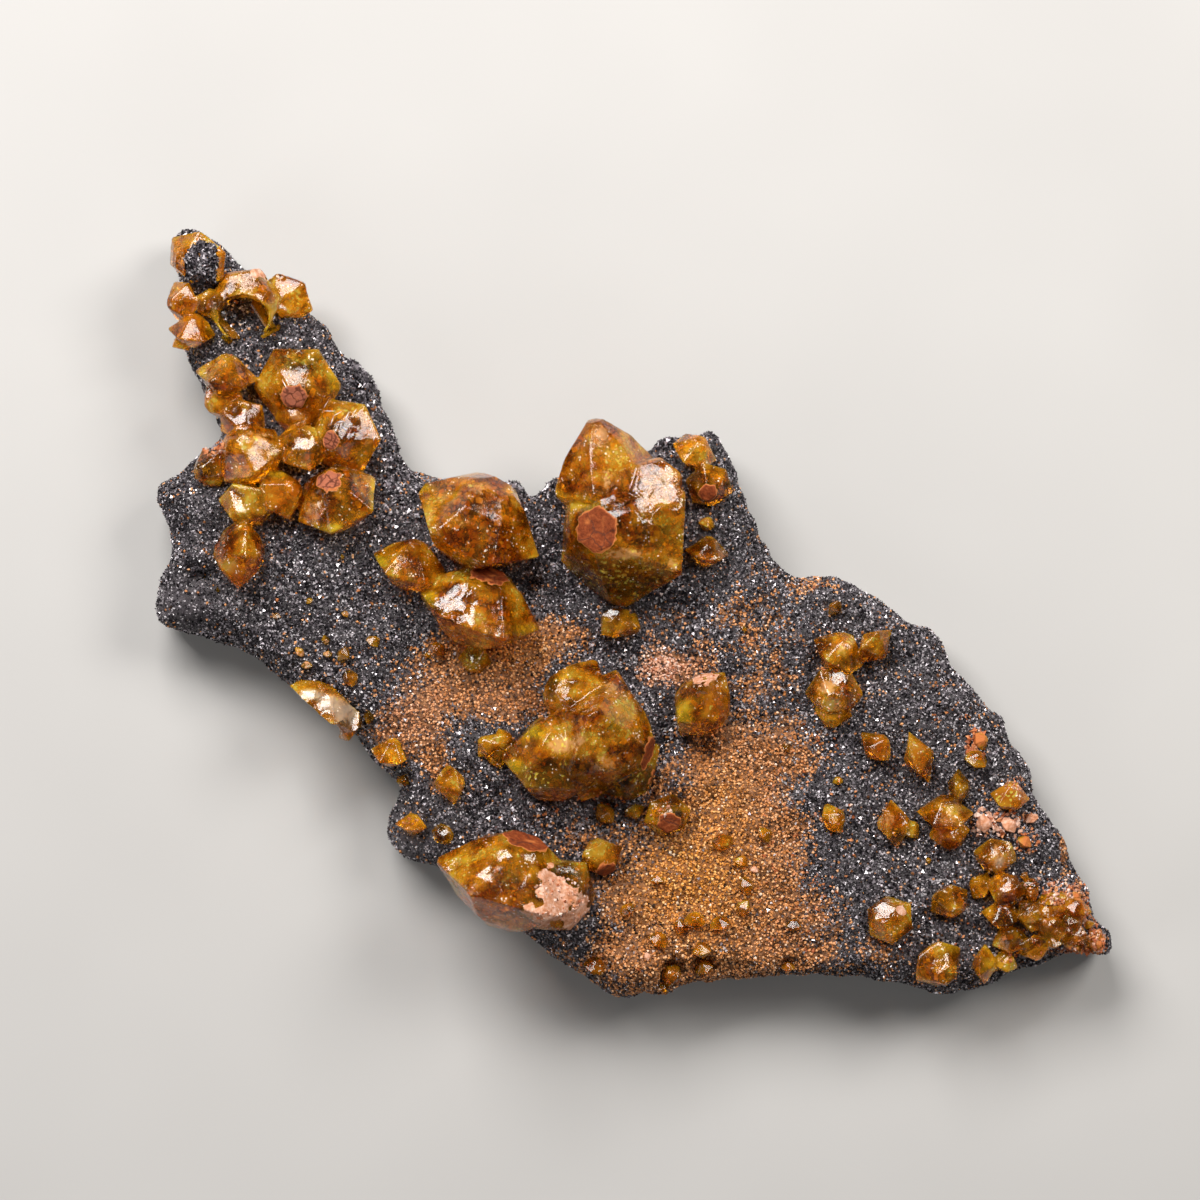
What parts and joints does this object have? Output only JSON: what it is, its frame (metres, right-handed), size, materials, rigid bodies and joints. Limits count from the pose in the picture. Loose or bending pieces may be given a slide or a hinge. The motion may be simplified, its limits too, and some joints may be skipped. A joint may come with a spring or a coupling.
{
  "type": "mineral specimen",
  "caption": "Plate of dark drusy ore with honey-amber six-sided double-pyramid crystals grown on its front; lies on its flat back for display.",
  "frame": {"origin": "under the middle of the specimen's bounding box, on the surface that its back rests on", "axes": "+X along the plate from the broad lobe to the pointed corner, +Y towards the narrow arm, +Z out of the crystal-covered front"},
  "size_m": [0.0961, 0.0772, 0.0188],
  "materials": {
    "ore": "dark grey to violet-grey sparkling druse, stained orange in places",
    "sturmanite": "translucent honey-amber, uneven glossy faces, brick-red blunt ends"
  },
  "bodies": {
    "root": {"matrix": "ore", "crystal_tip": "sturmanite", "crystal_group_tip": "sturmanite", "crystal_group_arm": "sturmanite", "crystal_blade": "sturmanite", "crystal_group_middle": "sturmanite", "crystal_group_peak": "sturmanite", "crystal_notch_pair": "sturmanite", "crystal_beside_peak": "sturmanite", "crystal_glinting": "sturmanite", "crystal_heart": "sturmanite", "crystal_shaded": "sturmanite", "crystal_capped": "sturmanite", "crystal_long": "sturmanite", "crystal_beside_long": "sturmanite", "crystal_inland": "sturmanite", "crystal_ledge": "sturmanite", "crystal_pale": "sturmanite", "crystal_rim": "sturmanite", "crystal_trio": "sturmanite", "crystal_leaning": "sturmanite", "crystal_spindle": "sturmanite", "crystal_east_edge": "sturmanite", "crystal_double": "sturmanite", "crystal_hooded": "sturmanite", "crystal_west_of_double": "sturmanite", "crystal_bright_face": "sturmanite", "crystal_round": "sturmanite", "crystal_south": "sturmanite", "crystal_group_corner": "sturmanite"}
  },
  "joints": []
}
